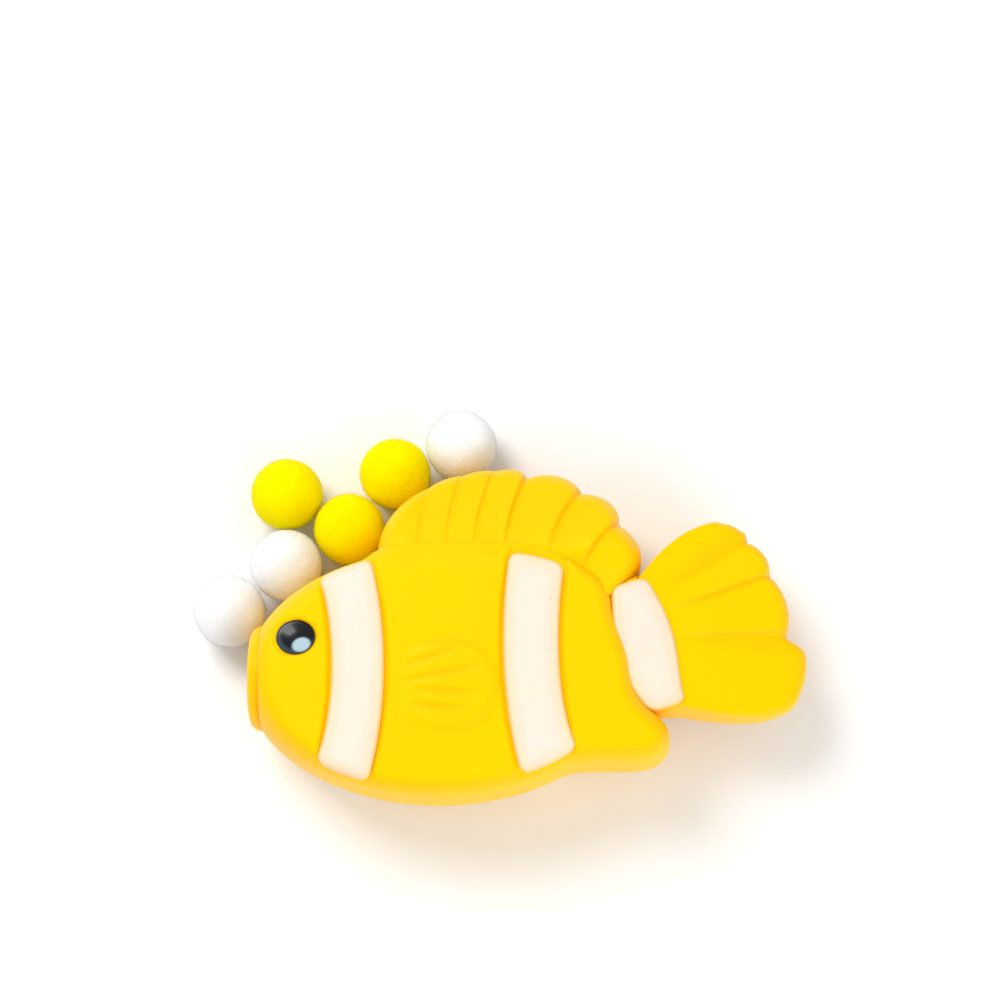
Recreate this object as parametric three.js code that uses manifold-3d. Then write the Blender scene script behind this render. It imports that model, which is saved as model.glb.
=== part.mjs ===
// Squeeze-and-pop fish toy with its six loose foam balls.
// The fish is a hollow body of soft vinyl in two halves. A ball is pushed into the mouth, and a squeeze
// of the two pectoral fin pads blows it out again. The fish lies on its right side, with the balls around it.
// Millimetres, +Z up. The head points along -X and the dorsal fin along +Y.
// The origin is on the floor, under the middle of the body band.

import * as THREE from "three";
import { mergeVertices } from "three/addons/utils/BufferGeometryUtils.js";
import Module from "manifold-3d";

const wasm = await Module();
wasm.setup();

const degrees = Math.PI / 180;
const point = (x, y) => new THREE.Vector2(x, y);

// Foam balls
const ballDiameter = 18;
const ballFishGap = 0.9;
const ballBallGap = 0.3;
const firstBallAngle = 157 * degrees;
const firstBallGap = 2.2;

// Barrel behind the mouth, in which a ball waits
const barrelClearance = 0.3;
const barrelWall = 1.6;
const flangeWidth = 2;
const flangeThickness = 2;
const stopDepth = 2;
const stopWidth = 1.8;
const ballPeek = 3;

// Lip ring at the snout
const snoutTrim = 4.2;
const lipLength = 2.9;
const lipGrip = 0.6;
const lipWidth = 4.3;
const lipRound = 1.9;

// Soft body
const bodyLength = 94.8;
const bodyHeight = 61.6;
const bodyCentreX = -22.5;
const wall = 2.5;
const edgeRadius = 4;
const headroom = 1.1;
const seamGap = 0.3;

// Seats for what is set into the body
const seatDepth = 1;
const seatGap = 0.3;

// White bands
const bandProud = 1.5;
const bandEdge = 0.8;
const bandCorner = 2.6;
const bandMargin = 2.2;
const bodyBandTopMargin = 0.3;
const headBandFromSnout = 28.2;
const headBandWidth = 12.6;
const headBandBow = 95;
const bodyBandWidth = 13.4;
const bodyBandBow = 114;
const bodyBandLean = 3.3 * degrees;
const tailBandMidWidth = 12.6;
const tailBandEndWidth = 6.8;
const tailBandGap = 0.6;
const tailBandLean = 18.5 * degrees;

// Pectoral fin pads, where thumb and finger press
const padLength = 22;
const padHeight = 21;
const padFromCentre = 1.7;
const padDrop = 3.7;
const padProud = 0.9;
const padClearance = 0.4;
const padEdge = 0.8;

// Eyes
const eyeLength = 9.5;
const eyeHeight = 8.4;
const eyeTilt = 9 * degrees;
const eyeFromSnout = 13.2;
const eyeRise = 7.8;
const eyeProud = 1;
const eyeEdge = 0.7;

// Dorsal fin: an elliptic crest whose rear lobes are scalloped
const dorsalLength = 64;
const dorsalHeight = 22.2;
const dorsalSink = 0.8;
const dorsalFromCentre = 16.6;
const dorsalFootThickness = 30;
const dorsalCrestThickness = 13;
const dorsalEdge = 2;
const dorsalFrontAngle = 200 * degrees;
const dorsalRidgeAngles = [127, 110, 95, 80, 51, 27].map((angle) => angle * degrees);
const dorsalRearAngle = -24 * degrees;
const dorsalNotch = 2.6;
const dorsalFirstNotchAngle = 90 * degrees;

// Haunch: the rear of the body, with the anal fin below and the tail root behind
const rootTopBack = 4.4;
const rootTopRise = 21.5;
const rootControlBack = 4.9;
const rootControlDrop = 2;
const analFinBack = -2.1;
const analFinDrop = 15.7;
const analFinRadius = 6.8;
const analFinEndAngle = 60 * degrees;
const haunchReach = 17;

// Tail fin: a fan of lobes about a hub at the tail root
const tailHubBack = 0.9;
const tailHubRise = 8;
const tailReach = 40.6;
const tailLowReach = 3.6;
const tailTopAngle = 49 * degrees;
const tailNotchAngles = [40.4, 25.6, 2.7].map((angle) => angle * degrees);
const tailFootAngle = -22 * degrees;
const tailNotch = 1.9;
const tailLowSpread = 6 * degrees;
const tailShoulderAngle = 78 * degrees;
const tailShoulderReach = 17.2;
const tailTopBulgeAngle = 66 * degrees;
const tailTopBulgeReach = 34.5;
const tailHeelAngle = -51 * degrees;
const tailHeelReach = 22;
const tailFootBulgeAngle = -33 * degrees;
const tailFootBulgeReach = 38;
const tailRootThickness = 26;
const tailTipThickness = 13;
const tailEdge = 2;

// Facets
const bodySides = 48;
const padSides = 32;
const eyeSides = 24;
const ringSides = 32;
const lobeSteps = 5;
const bandSteps = 7;
const cornerSteps = 3;
const edgeSteps = 3;
const smallEdgeSteps = 2;
const ballSides = 18;
const ballRings = 12;

// Sizes that follow from the ones above
const ballRadius = ballDiameter / 2;
const barrelBore = ballRadius + barrelClearance;
const barrelRadius = barrelBore + barrelWall;
const flangeRadius = barrelRadius + flangeWidth;
const shellThickness = 2 * (flangeRadius + headroom + wall);
const thickness = shellThickness + 2 * bandProud;
const middle = thickness / 2;
const face = middle + shellThickness / 2;
const snoutX = bodyCentreX - bodyLength / 2;
const rearX = bodyCentreX + bodyLength / 2;
const mouthX = snoutX + snoutTrim;
const lipX = mouthX - seatGap - lipLength;
const flangeX = mouthX + wall + seatGap;
const stopX = lipX - ballPeek + ballDiameter;

// Solids

// The solid inside a closed three.js geometry.
function solid(geometry) {
  const bare = geometry.clone();
  bare.deleteAttribute("normal");
  bare.deleteAttribute("uv");
  const merged = mergeVertices(bare);
  const mesh = new wasm.Mesh({
    numProp: 3,
    vertProperties: merged.attributes.position.array,
    triVerts: new Uint32Array(merged.index.array),
  });
  return new wasm.Manifold(mesh);
}

// The three.js geometry of a solid.
function geometryOf(made) {
  const { vertProperties, triVerts } = made.getMesh();
  const geometry = new THREE.BufferGeometry();
  geometry.setAttribute("position", new THREE.BufferAttribute(vertProperties, 3));
  geometry.setIndex(new THREE.BufferAttribute(triVerts, 1));
  geometry.computeVertexNormals();
  return geometry;
}

// A slab from z = low to z = high over an outline, with its edges rounded.
function slab(outline, low, high, radius, steps) {
  const geometry = new THREE.ExtrudeGeometry(new THREE.Shape(outline), {
    depth: high - low - 2 * radius,
    bevelEnabled: radius > 0,
    bevelThickness: radius,
    bevelSize: radius,
    bevelOffset: -radius,
    bevelSegments: steps,
  });
  return geometry.translate(0, 0, low + radius);
}

// A box between two corners.
function box(low, high) {
  const size = high.clone().sub(low);
  const centre = low.clone().add(high).multiplyScalar(0.5);
  return new THREE.BoxGeometry(size.x, size.y, size.z).translate(centre.x, centre.y, centre.z);
}

// A ring turned about the mouth's axis. Its profile holds pairs of radius and place along X.
function turnedAboutMouth(profile) {
  const points = profile.map(([radius, x]) => point(radius, x));
  return new THREE.LatheGeometry(points, ringSides).rotateZ(-Math.PI / 2).translate(0, 0, middle);
}

// Outlines, each counter-clockwise

function ellipse(centre, halfLength, halfHeight, sides, tilt = 0) {
  return Array.from({ length: sides }, (_, i) => {
    const angle = (2 * Math.PI * i) / sides;
    return point(halfLength * Math.cos(angle), halfHeight * Math.sin(angle)).rotateAround(point(0, 0), tilt).add(centre);
  });
}

// An outline with each of its sides moved inwards by a distance, or outwards by a negative one.
function inset(outline, distance) {
  const count = outline.length;
  const leftOf = (from, to) => point(from.y - to.y, to.x - from.x).normalize();
  return outline.map((corner, i) => {
    const before = leftOf(outline[(i + count - 1) % count], corner);
    const after = leftOf(corner, outline[(i + 1) % count]);
    const halfway = before.add(after).normalize();
    return corner.clone().addScaledVector(halfway, distance / Math.max(halfway.dot(after), 0.5));
  });
}

// How far a place is from the nearest side of an outline.
function distanceTo(outline, place) {
  const line = new THREE.Line3();
  const nearest = new THREE.Vector3();
  const here = new THREE.Vector3(place.x, place.y, 0);
  const distances = outline.map((corner, i) => {
    const next = outline[(i + 1) % outline.length];
    line.start.set(corner.x, corner.y, 0);
    line.end.set(next.x, next.y, 0);
    return line.closestPointToPoint(here, true, nearest).distanceTo(here);
  });
  return Math.min(...distances);
}

// An outline drawn in towards its middle, until its nearest side has moved by a distance.
function shrunk(outline, distance) {
  const centre = new THREE.Box2().setFromPoints(outline).getCenter(point(0, 0));
  const share = 1 - distance / distanceTo(outline, centre);
  return outline.map((corner) => centre.clone().lerp(corner, share));
}

// A rectangle about the origin with round corners, its long sides cut into steps so that it can be bent.
function roundedRectangle(width, height, radius) {
  const corners = [
    [1, -1, -90],
    [1, 1, 0],
    [-1, 1, 90],
    [-1, -1, 180],
  ];
  const points = [];
  for (const [right, up, start] of corners) {
    const centre = point(right * (width / 2 - radius), up * (height / 2 - radius));
    for (let i = 0; i <= cornerSteps; i++) {
      const angle = (start + (90 * i) / cornerSteps) * degrees;
      points.push(point(radius * Math.cos(angle), radius * Math.sin(angle)).add(centre));
    }
    const stepsAlongSide = right === up ? 0 : bandSteps;
    for (let i = 1; i < stepsAlongSide; i++) {
      points.push(point((right * width) / 2, right * (height / 2 - radius) * ((2 * i) / bandSteps - 1)));
    }
  }
  return points;
}

const bodyCentre = point(bodyCentreX, 0);
const bodyOutline = ellipse(bodyCentre, bodyLength / 2, bodyHeight / 2, bodySides);

// Half the body's height at a place along X, short of its outline by a margin.
function bandReach(x, margin) {
  const share = (x - bodyCentreX) / (bodyLength / 2 - margin);
  return (bodyHeight / 2 - margin) * Math.sqrt(Math.max(1 - share * share, 0));
}

// A band across the body: its centre line bows and leans, and its ends follow the body's outline.
function bandOutline(centreX, width, bow, lean, topMargin) {
  const centreLine = (y) => centreX - y * Math.tan(lean) + (y * y) / (2 * bow);
  const height = 2 * bandReach(centreX, bandMargin);
  return roundedRectangle(width, height, bandCorner).map(({ x, y }) => {
    const across = centreLine(y) + x;
    const stretch = bandReach(across, y > 0 ? topMargin : bandMargin) / (height / 2);
    return point(across, y * stretch);
  });
}

const headBandOutline = bandOutline(snoutX + headBandFromSnout, headBandWidth, -headBandBow, 0, bandMargin);
const bodyBandOutline = bandOutline(0, bodyBandWidth, bodyBandBow, bodyBandLean, bodyBandTopMargin);

// The edge of the haunch that faces the tail, from the anal fin up to the dorsal fin.
const analFinCentre = point(rearX - analFinBack, -analFinDrop);
const analFinEnd = point(analFinRadius, 0).rotateAround(point(0, 0), analFinEndAngle).add(analFinCentre);
const rootTop = point(rearX - rootTopBack, rootTopRise);
const rootControl = point(rearX - rootControlBack, -rootControlDrop);
const rootEdge = new THREE.QuadraticBezierCurve(analFinEnd, rootControl, rootTop);

function haunchOutline() {
  const points = [point(rearX - haunchReach, -analFinDrop - analFinRadius)];
  for (let i = 0; i <= 2 * lobeSteps; i++) {
    const angle = -Math.PI / 2 + ((Math.PI / 2 + analFinEndAngle) * i) / (2 * lobeSteps);
    points.push(point(analFinRadius, 0).rotateAround(point(0, 0), angle).add(analFinCentre));
  }
  const edge = rootEdge.getPoints(2 * lobeSteps);
  return [...points, ...edge.slice(1), point(rearX - haunchReach, rootTopRise)];
}

// The tail band lies along the tail root, wide at its middle and narrow at its ends.
function tailBandOutline() {
  const length = rootEdge.getLength() - 2 * tailBandGap;
  return roundedRectangle(tailBandEndWidth, length, bandCorner).map(({ x, y }) => {
    const share = THREE.MathUtils.clamp(0.5 + y / rootEdge.getLength(), 0, 1);
    const width = tailBandEndWidth + (tailBandMidWidth - tailBandEndWidth) * Math.sin(Math.PI * share);
    const along = rootEdge.getTangentAt(share);
    const outwards = point(along.y, -along.x);
    const across = point((0.5 + x / tailBandEndWidth) * width, 0).rotateAround(point(0, 0), tailBandLean);
    return rootEdge.getPointAt(share).addScaledVector(outwards, tailBandGap).add(across);
  });
}

// How deep the scallops cut between two ridges: nothing at the middle of a lobe, all at its ends.
function scallop(angle, ridges) {
  for (let i = 1; i < ridges.length; i++) {
    const share = (angle - ridges[i]) / (ridges[i - 1] - ridges[i]);
    if (share >= 0 && share <= 1) return 1 - Math.sin(Math.PI * share) ** 0.7;
  }
  return 0;
}

// Angles from the first ridge to the last, with the same number of steps in each lobe.
function lobeAngles(ridges) {
  const angles = [ridges[0]];
  for (let i = 1; i < ridges.length; i++) {
    for (let k = 1; k <= lobeSteps; k++) {
      angles.push(THREE.MathUtils.lerp(ridges[i - 1], ridges[i], k / lobeSteps));
    }
  }
  return angles;
}

const dorsalCentre = point(bodyCentreX + dorsalFromCentre, bodyHeight / 2 - dorsalSink);

function dorsalOutline(notch) {
  const ridges = [dorsalFrontAngle, ...dorsalRidgeAngles, dorsalRearAngle];
  const crest = lobeAngles(ridges).map((angle) => {
    const depth = angle < dorsalFirstNotchAngle ? notch * scallop(angle, ridges) : 0;
    const halfLength = dorsalLength / 2 - depth;
    const halfHeight = dorsalHeight - depth;
    return point(halfLength * Math.cos(angle), halfHeight * Math.sin(angle)).add(dorsalCentre);
  });
  return crest.reverse();
}

const tailHub = point(rearX - tailHubBack, tailHubRise);
const fromTailHub = (reach, angle) => point(reach, 0).rotateAround(point(0, 0), angle).add(tailHub);

function tailOutline(notch) {
  const ridges = [tailTopAngle, ...tailNotchAngles, tailFootAngle];
  const lastNotch = tailNotchAngles.at(-1);
  const edge = lobeAngles(ridges).map((angle) => {
    const low = THREE.MathUtils.smoothstep(lastNotch - angle, 0, tailLowSpread) * tailLowReach;
    const nearTop = angle > (tailTopAngle + tailNotchAngles[0]) / 2;
    const nearFoot = angle < (tailFootAngle + lastNotch) / 2;
    const depth = nearTop || nearFoot ? 0 : notch * scallop(angle, ridges);
    return fromTailHub(tailReach + low - depth, angle);
  });
  const heel = fromTailHub(tailHeelReach, tailHeelAngle);
  const footBulge = fromTailHub(tailFootBulgeReach, tailFootBulgeAngle);
  const below = new THREE.QuadraticBezierCurve(heel, footBulge, edge.at(-1));
  const shoulder = fromTailHub(tailShoulderReach, tailShoulderAngle);
  const topBulge = fromTailHub(tailTopBulgeReach, tailTopBulgeAngle);
  const above = new THREE.QuadraticBezierCurve(edge[0], topBulge, shoulder);
  const rootCorners = [rootTop.clone().sub(point(wall, wall)), tailHub.clone().sub(point(wall, wall))];
  const flank = (curve) => curve.getPoints(lobeSteps);
  return [...flank(below).slice(0, -1), ...edge.reverse(), ...flank(above).slice(1), ...rootCorners];
}

// Body

// Thins a fin about the body's mid-plane, from one thickness at the first place along an axis to another.
function thinned(geometry, axis, start, end, startThickness, endThickness) {
  const position = geometry.getAttribute("position");
  const read = axis === "x" ? (i) => position.getX(i) : (i) => position.getY(i);
  for (let i = 0; i < position.count; i++) {
    const share = Math.max((read(i) - start) / (end - start), 0);
    const scale = THREE.MathUtils.lerp(1, endThickness / startThickness, share);
    position.setZ(i, middle + (position.getZ(i) - middle) * scale);
  }
  return geometry;
}

// A dorsal fin over an outline, and a tail fin over another.
function dorsalFin(outline, depth, radius) {
  const foot = dorsalFootThickness - 2 * depth;
  const crest = dorsalCrestThickness - 2 * depth;
  const even = slab(outline, middle - foot / 2, middle + foot / 2, radius, smallEdgeSteps);
  return thinned(even, "y", dorsalCentre.y, dorsalCentre.y + dorsalHeight, foot, crest);
}

function tailFin(outline, depth, radius) {
  const root = tailRootThickness - 2 * depth;
  const tip = tailTipThickness - 2 * depth;
  const even = slab(outline, middle - root / 2, middle + root / 2, radius, smallEdgeSteps);
  return thinned(even, "x", tailHub.x, tailHub.x + tailReach, root, tip);
}

// The outside of the fish as one solid, with rounded edges and scalloped fins.
function outside() {
  const low = middle - shellThickness / 2;
  const body = slab(bodyOutline, low, face, edgeRadius, edgeSteps);
  const haunch = slab(haunchOutline(), low, face, edgeRadius, edgeSteps);
  const dorsal = dorsalFin(dorsalOutline(dorsalNotch), 0, dorsalEdge);
  const tail = tailFin(tailOutline(tailNotch), 0, tailEdge);
  return solid(body).add(solid(haunch)).add(solid(dorsal)).add(solid(tail));
}

// The hollow inside it, a wall's thickness in from the outside.
function hollow() {
  const low = middle - shellThickness / 2 + wall;
  const body = slab(inset(bodyOutline, wall), low, face - wall, 0, 1);
  const haunch = slab(inset(haunchOutline(), wall), low, face - wall, 0, 1);
  const dorsal = dorsalFin(inset(dorsalOutline(0), wall + dorsalNotch), wall, 0);
  const tail = tailFin(shrunk(tailOutline(0), wall + tailNotch), wall, 0);
  return solid(body).add(solid(haunch)).add(solid(dorsal)).add(solid(tail));
}

// The tail's left face slopes down from the root, and the tail band lies on that slope.
const tailSlope = Math.atan2((tailRootThickness - tailTipThickness) / 2, tailReach);
function onTailFace(geometry) {
  geometry.translate(-tailHub.x, 0, 0).rotateY(tailSlope);
  return geometry.translate(tailHub.x, 0, middle + tailRootThickness / 2);
}

// A tile over an outline that is proud of the face it is set in, and the seat that is cut for it.
const sunk = seatDepth - seatGap;
const tile = (outline, level, proud, edge) => slab(outline, level - sunk, level + proud, edge, smallEdgeSteps);
const seat = (outline, level) => slab(inset(outline, -seatGap), level - seatDepth, level + wall, 0, 1);

const eyeCentre = point(snoutX + eyeFromSnout, eyeRise);
const eyeOutline = ellipse(eyeCentre, eyeLength / 2, eyeHeight / 2, eyeSides, eyeTilt);
const padCentre = point(bodyCentreX + padFromCentre, -padDrop);
const padOutline = ellipse(padCentre, padLength / 2, padHeight / 2, padSides);

// One half of the hollow body, with the seats of the bands and the eye, the pad's window and the mouth.
function halfShell() {
  const far = 2 * bodyLength;
  const inFrontOfMouth = solid(box(new THREE.Vector3(-far, -far, -far), new THREE.Vector3(mouthX, far, far)));
  const atMouthWall = solid(box(new THREE.Vector3(-far, -far, -far), new THREE.Vector3(mouthX + wall, far, far)));
  const upper = solid(box(new THREE.Vector3(-far, -far, middle + seamGap / 2), new THREE.Vector3(far, far, far)));
  const mouthHole = turnedAboutMouth([
    [0, mouthX - wall],
    [barrelRadius + seatGap, mouthX - wall],
    [barrelRadius + seatGap, mouthX + wall],
    [flangeRadius + seatGap, mouthX + wall],
    [flangeRadius + seatGap, flangeX + flangeThickness + seatGap],
    [0, flangeX + flangeThickness + seatGap],
  ]);
  const window = slab(inset(padOutline, -padClearance), middle, face + wall, 0, 1);
  return outside()
    .subtract(hollow().subtract(atMouthWall))
    .subtract(inFrontOfMouth)
    .subtract(solid(mouthHole))
    .intersect(upper)
    .subtract(solid(seat(headBandOutline, face)))
    .subtract(solid(seat(bodyBandOutline, face)))
    .subtract(solid(onTailFace(seat(tailBandOutline(), 0))))
    .subtract(solid(seat(eyeOutline, face)))
    .subtract(solid(window));
}

// Mouth

// A tube with a flange behind the snout wall and a cross at its inner end that stops the ball.
function barrel() {
  const tube = turnedAboutMouth([
    [barrelBore, mouthX],
    [barrelRadius, mouthX],
    [barrelRadius, flangeX],
    [flangeRadius, flangeX],
    [flangeRadius, flangeX + flangeThickness],
    [barrelRadius, flangeX + flangeThickness],
    [barrelRadius, stopX + stopDepth],
    [barrelBore, stopX + stopDepth],
    [barrelBore, mouthX],
  ]);
  const barLength = barrelBore + barrelWall / 2;
  const across = box(
    new THREE.Vector3(stopX, -barLength, middle - stopWidth / 2),
    new THREE.Vector3(stopX + stopDepth, barLength, middle + stopWidth / 2),
  );
  const upright = box(
    new THREE.Vector3(stopX, -stopWidth / 2, middle - barLength),
    new THREE.Vector3(stopX + stopDepth, stopWidth / 2, middle + barLength),
  );
  return geometryOf(solid(tube).add(solid(across)).add(solid(upright)));
}

// A soft ring whose bore is narrower than the ball, so that it holds the ball until air pushes it out.
function lip() {
  const inner = ballRadius - lipGrip;
  const outer = inner + lipWidth;
  const back = mouthX - seatGap;
  const profile = [
    [inner, back],
    [inner, lipX + lipRound],
  ];
  const corners = [
    [inner + lipRound, 180],
    [outer - lipRound, 90],
  ];
  for (const [centre, start] of corners) {
    for (let i = 0; i <= cornerSteps; i++) {
      const angle = (start - (90 * i) / cornerSteps) * degrees;
      profile.push([centre + lipRound * Math.cos(angle), lipX + lipRound - lipRound * Math.sin(angle)]);
    }
  }
  return turnedAboutMouth([...profile, [outer, back], [inner, back]]);
}

// Balls

// The balls lie in a row along the fish's back, each against the one before and against the fish.
// The first lies beside the snout, far enough from the lip to be lifted past it.
// One more lies in the hollow between the second and the third.
function ballCentres() {
  const pitch = ballDiameter + ballBallGap;
  const crest = dorsalOutline(0);
  const clear = (place) => Math.min(distanceTo(bodyOutline, place), distanceTo(crest, place)) >= ballRadius + ballFishGap;
  const next = (last) => {
    let away = 126 * degrees;
    let into = -45 * degrees;
    const at = (angle) => point(pitch, 0).rotateAround(point(0, 0), angle).add(last);
    for (let i = 0; i < 40; i++) {
      const angle = (away + into) / 2;
      if (clear(at(angle))) away = angle;
      else into = angle;
    }
    return at(away);
  };
  const cos = Math.cos(firstBallAngle);
  const sin = Math.sin(firstBallAngle);
  const onBody = point((bodyLength / 2) * cos, (bodyHeight / 2) * sin).add(bodyCentre);
  const outwards = point((bodyHeight / 2) * cos, (bodyLength / 2) * sin).normalize();
  const row = [onBody.addScaledVector(outwards, ballRadius + firstBallGap)];
  while (row.length < 5) row.push(next(row.at(-1)));
  const between = row[2].clone().sub(row[1]);
  const rise = Math.sqrt(pitch * pitch - between.lengthSq() / 4);
  const nested = row[1].clone().addScaledVector(between, 0.5);
  nested.addScaledVector(point(-between.y, between.x).normalize(), rise);
  return { white: [row[0], row[1], row[4]], yellow: [nested, row[2], row[3]] };
}

// Materials

const material = (color, roughness) => new THREE.MeshStandardMaterial({ color, roughness, metalness: 0 });
const yellowVinyl = material(0xffd200, 0.4);
const whiteVinyl = material(0xf6ecdf, 0.4);
const blackGloss = material(0x101418, 0.15);
const clearPlastic = material(0xe9e6de, 0.35);
const yellowFoam = material(0xffe600, 0.9);
const whiteFoam = material(0xfbf8f3, 0.9);

// Assembly

const toy = new THREE.Group();

function place(parent, name, geometry, finish) {
  const mesh = new THREE.Mesh(geometry, finish);
  mesh.name = name;
  parent.add(mesh);
}

// Each side has the same pieces. The right side is the left one turned over about the mid-plane.
const shell = geometryOf(halfShell());
const sides = { left: new THREE.Group(), right: new THREE.Group() };
sides.right.scale.z = -1;
sides.right.position.z = thickness;
for (const [side, group] of Object.entries(sides)) {
  toy.add(group);
  place(group, `${side}_shell`, shell, yellowVinyl);
  place(group, `${side}_head_band`, tile(headBandOutline, face, bandProud, bandEdge), whiteVinyl);
  place(group, `${side}_body_band`, tile(bodyBandOutline, face, bandProud, bandEdge), whiteVinyl);
  place(group, `${side}_tail_band`, onTailFace(tile(tailBandOutline(), 0, bandProud, bandEdge)), whiteVinyl);
  place(group, `${side}_eye`, tile(eyeOutline, face, eyeProud, eyeEdge), blackGloss);
  const pad = slab(padOutline, face - wall, face + padProud, padEdge, smallEdgeSteps);
  place(group, `${side}_pectoral_pad`, pad, yellowVinyl);
}

place(toy, "barrel", barrel(), clearPlastic);
place(toy, "mouth_lip", lip(), yellowVinyl);

const foams = { white: whiteFoam, yellow: yellowFoam };
for (const [colour, centres] of Object.entries(ballCentres())) {
  centres.forEach((centre, i) => {
    const ball = new THREE.SphereGeometry(ballRadius, ballSides, ballRings).rotateX(Math.PI / 2);
    place(toy, `${colour}_ball_${i + 1}`, ball, foams[colour]);
    toy.children.at(-1).position.set(centre.x, centre.y, ballRadius);
  });
}

export default toy;
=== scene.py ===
import bmesh
import bpy
import numpy as np
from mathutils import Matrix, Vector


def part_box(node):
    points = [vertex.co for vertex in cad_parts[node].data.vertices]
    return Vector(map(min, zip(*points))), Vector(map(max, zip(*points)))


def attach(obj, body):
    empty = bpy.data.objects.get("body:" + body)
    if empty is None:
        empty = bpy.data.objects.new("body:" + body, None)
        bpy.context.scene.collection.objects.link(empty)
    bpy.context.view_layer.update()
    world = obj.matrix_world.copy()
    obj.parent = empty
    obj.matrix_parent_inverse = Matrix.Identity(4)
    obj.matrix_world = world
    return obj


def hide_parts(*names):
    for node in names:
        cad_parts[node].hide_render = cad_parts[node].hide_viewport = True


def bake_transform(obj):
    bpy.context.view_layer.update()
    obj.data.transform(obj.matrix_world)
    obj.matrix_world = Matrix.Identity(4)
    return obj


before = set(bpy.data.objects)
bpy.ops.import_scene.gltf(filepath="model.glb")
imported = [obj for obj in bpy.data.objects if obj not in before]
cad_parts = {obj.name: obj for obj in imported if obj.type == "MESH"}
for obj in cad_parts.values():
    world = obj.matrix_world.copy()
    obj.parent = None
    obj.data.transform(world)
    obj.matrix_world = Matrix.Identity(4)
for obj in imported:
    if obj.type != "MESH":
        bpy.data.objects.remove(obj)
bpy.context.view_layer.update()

# Body skin
# The body is a hollow bag of soft yellow vinyl, moulded in two halves that are welded along the mid-plane.
# Its sides carry raised tiles with grooves between them, in which the white bands lie.
# Sizes are in millimetres, and each mesh is put into metres as it is made.
middle_z = 18.0
face_height = 16.5
tile_raise = 0.6
body_centre = np.array([-22.5, 0.0])
body_half = np.array([47.4, 30.8])
mouth_x = -65.7
belly_centre = np.array([-20.9, -3.7])
belly_half = np.array([13.0, 16.5])
head_band_half, head_band_middle, head_band_bow = 6.3, -41.7, 190
body_band_half, body_band_lean, body_band_bow = 6.7, np.radians(3.3), 228
groove_depth, socket_depth, swell_height = 0.45, 1.25, 0.05
fin_middle, fin_half, fin_widening, fin_raise, ray_depth = (-20.4, -3.8), (12.5, 11.0), 0.12, 0.8, 0.45
fin_front_start, fin_front_end = -33.5, -23.0
ray_lines = (
    ((-30.5, 1.2), (-17.4, 5.1)), ((-31.7, -3.0), (-12.0, 0.9)),
    ((-28.4, -4.6), (-12.7, -5.8)), ((-29.0, -8.3), (-15.3, -9.6)),
)
eye_centre, eye_half, eye_tilt = np.array([-56.7, 7.8]), np.array([4.75, 4.2]), np.radians(9)


def soften(values, width, wrap=False):
    """A running mean along the first axis, weighted by a bell, with the ends held or joined."""
    window = np.exp(-0.5 * (np.arange(-3 * width, 3 * width + 1) / width) ** 2)
    ends = [(3 * width, 3 * width)] + [(0, 0)] * (values.ndim - 1)
    held = np.pad(values, ends, mode="wrap" if wrap else "edge")
    flat = held.reshape(len(held), -1)
    mean = np.stack([np.convolve(column, window / window.sum(), "valid") for column in flat.T], -1)
    return mean.reshape(values.shape)


def ease(low, high, x):
    """The smooth step from 0 at low to 1 at high: 3t^2 - 2t^3 of the clipped share."""
    t = np.clip((x - low) / (high - low), 0, 1)
    return t * t * (3 - 2 * t)


def head_band_x(y):
    """The head band's centre line: a parabola that bows towards the tail."""
    return head_band_middle - y * y / head_band_bow


def body_band_x(y):
    """The body band's centre line: a parabola that bows towards the head and leans a little."""
    return -y * np.tan(body_band_lean) + y * y / body_band_bow


def bezier(a, b, c, count):
    """A curve from a to c that is drawn towards b: (1-t)^2 a + 2t(1-t) b + t^2 c."""
    t = np.linspace(0, 1, count)[:, None]
    return (1 - t) ** 2 * np.array(a) + 2 * t * (1 - t) * np.array(b) + t**2 * np.array(c)


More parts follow.
